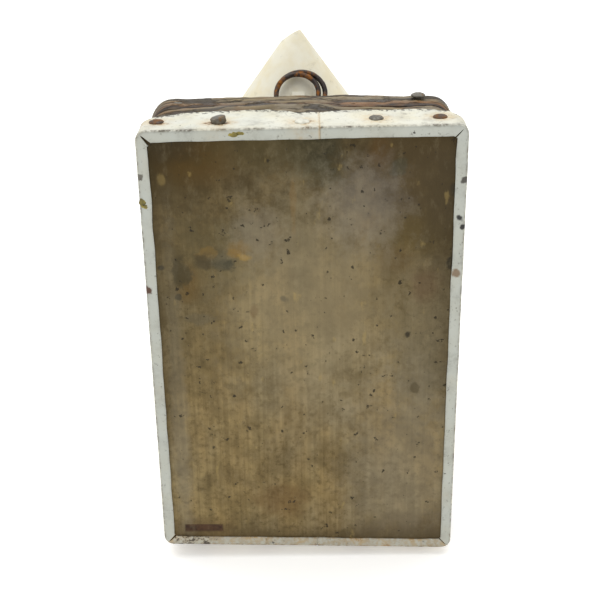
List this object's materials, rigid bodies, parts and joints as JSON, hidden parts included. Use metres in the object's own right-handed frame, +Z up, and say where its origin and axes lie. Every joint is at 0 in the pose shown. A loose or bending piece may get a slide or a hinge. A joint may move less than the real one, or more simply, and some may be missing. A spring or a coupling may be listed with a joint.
{
  "type": "bee smoker",
  "caption": "Hand bee smoker: a round fire pot with a hinged conical lid and lifting ring, blown by a leather bellows between two wooden boards edged with painted tin.",
  "frame": {"origin": "centre of the fire pot's flat bottom, on the pot's axis", "axes": "+Z up along the pot's axis; -Y from the pot towards the bellows, so the front board's outer face looks along -Y; +Y towards the lid's hinge; +X to the right of someone facing the front board"},
  "size_m": [0.138, 0.1667, 0.2287],
  "materials": {
    "cream_paint": "aged cream oil paint on sheet iron",
    "white_paint": "aged white oil paint on tinplate, chipped at the corners",
    "rusty_steel": "rusted steel wire and tacks",
    "sheet_iron": "sooty sheet iron",
    "board_wood": "bare softwood, dirty and worn",
    "old_leather": "dry, creased and cracked leather"
  },
  "bodies": {
    "pot": {"pot_wall": "cream_paint", "pot_base": "cream_paint", "base_hoop": "cream_paint", "air_inlet": "cream_paint", "bracket_upper": "cream_paint", "bracket_lower": "cream_paint", "bracket_screws": "rusty_steel", "bracket_rivets": "cream_paint", "hinge_leaf_pot": "cream_paint", "hinge_pin": "rusty_steel", "hinge_rivets_pot": "cream_paint", "fixed_board": "board_wood", "fixed_board_leather": "old_leather", "fixed_board_tacks": "rusty_steel", "bellows_nozzle": "sheet_iron", "bellows_leather": "old_leather"},
    "lid": {"lid_cone": "cream_paint", "lid_collar": "cream_paint", "ring_tab": "cream_paint", "ring_tab_rivet": "cream_paint", "hinge_leaf_lid": "cream_paint", "hinge_rivets_lid": "cream_paint"},
    "ring": {"lift_ring": "rusty_steel"},
    "grate": {"grate_plate": "sheet_iron", "grate_legs": "sheet_iron"},
    "moving_board": {"front_board": "board_wood", "edging_left": "white_paint", "edging_right": "white_paint", "top_tacks": "rusty_steel", "side_tacks": "rusty_steel", "bottom_tacks": "rusty_steel"}
  },
  "joints": [
    {"name": "bellows_squeeze", "type": "hinge", "parent": "pot", "child": "moving_board", "pos_m": [0, -0.094, 0.0045], "axis": [1, 0, 0], "range_deg": [-1.5, 10], "deforming": ["bellows_leather"]},
    {"name": "lid_hinge", "type": "hinge", "parent": "pot", "child": "lid", "pos_m": [0, 0.0532, 0.1506], "axis": [-1, 0, 0], "range_deg": [0, 120]},
    {"name": "ring_swing", "type": "hinge", "parent": "lid", "child": "ring", "pos_m": [0.0026, -0.03155, 0.19472], "axis": [1, 0, 0], "range_deg": [0, 165]},
    {"name": "grate_lift", "type": "slide", "parent": "pot", "child": "grate", "axis": [0, 0, 1], "range_m": [0, 0.11]}
  ]
}
